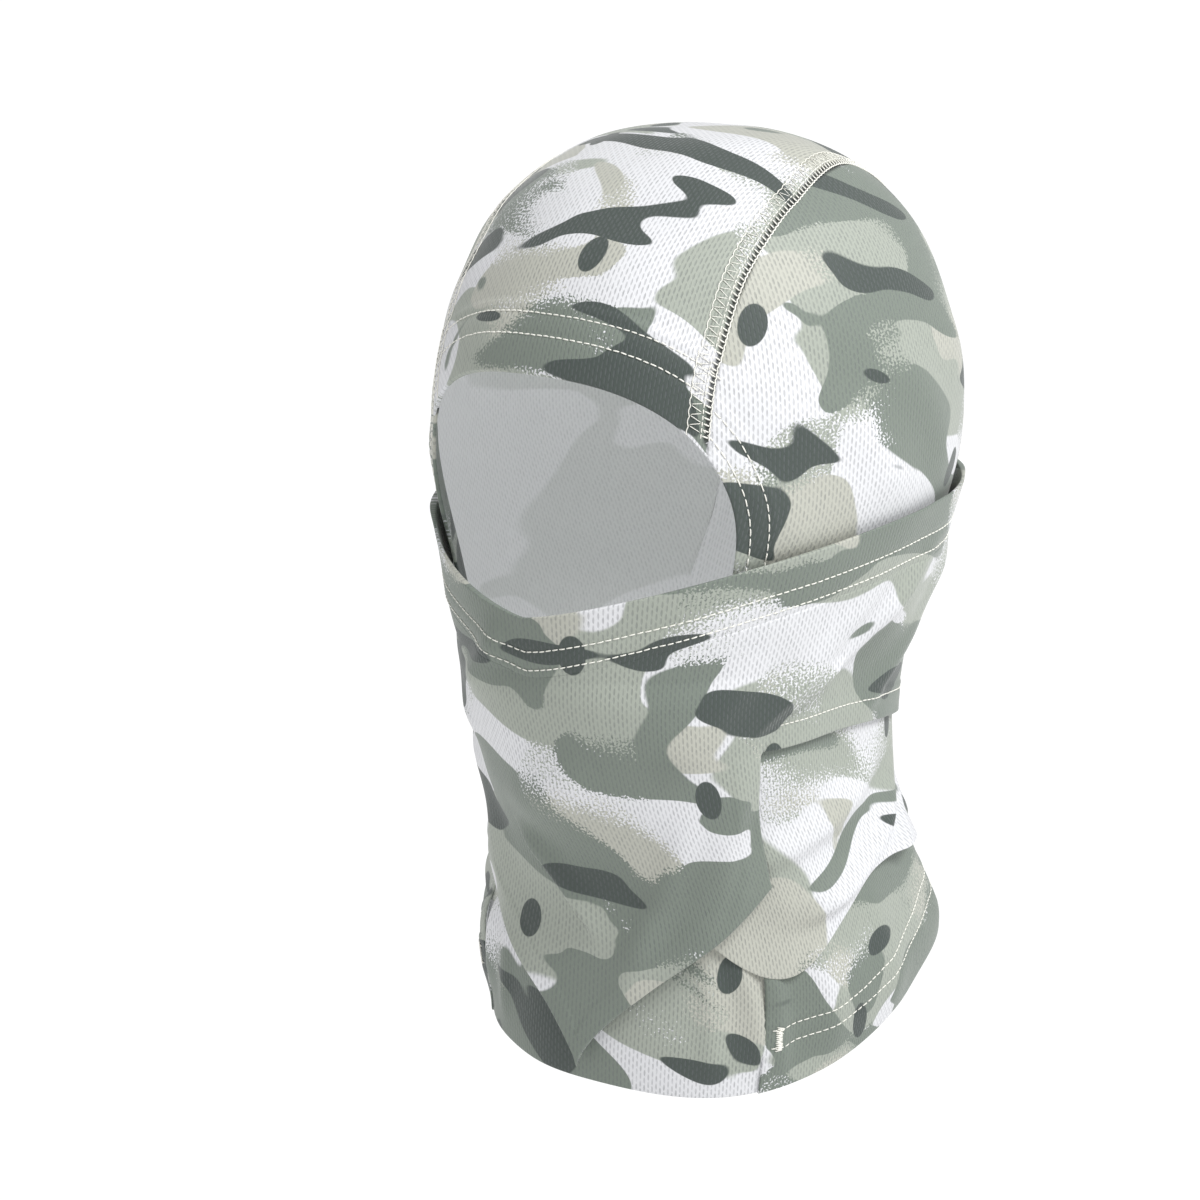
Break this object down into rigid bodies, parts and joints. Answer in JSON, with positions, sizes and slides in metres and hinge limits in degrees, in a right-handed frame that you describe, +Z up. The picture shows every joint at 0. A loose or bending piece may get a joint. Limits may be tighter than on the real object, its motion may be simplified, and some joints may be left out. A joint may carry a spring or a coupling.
{
  "type": "camo face mask",
  "caption": "Cloth hood mask in snow camouflage for head, face and neck, with an eye opening, a pull-down face cover that ends in a pointed bib, and a flared collar.",
  "frame": {"origin": "middle of the wearer's head at eye level, which is mount head_fit", "axes": "+Z up, -Y the way the wearer looks, +X the wearer's left"},
  "size_m": [0.1642, 0.191, 0.3008],
  "materials": {
    "camo_cloth": "matt",
    "white_thread": "matt"
  },
  "bodies": {
    "hood": {"crown_panel": "camo_cloth", "side_panel_left": "camo_cloth", "side_panel_right": "camo_cloth", "neck_tube": "camo_cloth", "collar": "camo_cloth", "chest_panel": "camo_cloth", "face_cover": "camo_cloth", "front_bib": "camo_cloth", "brow_hem_stitch_inner": "white_thread", "brow_hem_stitch_outer": "white_thread", "opening_stitch_left_inner": "white_thread", "opening_stitch_left_outer": "white_thread", "opening_stitch_right_inner": "white_thread", "opening_stitch_right_outer": "white_thread", "crown_seam_stitch_left": "white_thread", "crown_seam_stitch_right": "white_thread", "collar_hem_stitch_lower": "white_thread", "collar_hem_stitch_upper": "white_thread", "bartack_left": "white_thread", "bartack_right": "white_thread", "cover_low_stitch": "white_thread"},
    "cover_top": {"cover_hem": "camo_cloth", "cover_hem_stitch_upper": "white_thread", "cover_hem_stitch_lower": "white_thread"}
  },
  "joints": [
    {"name": "cover_pull_down", "type": "slide", "parent": "hood", "child": "cover_top", "axis": [0, 0.139, -0.9903], "range_m": [0, 0.045], "deforming": ["face_cover"]}
  ]
}
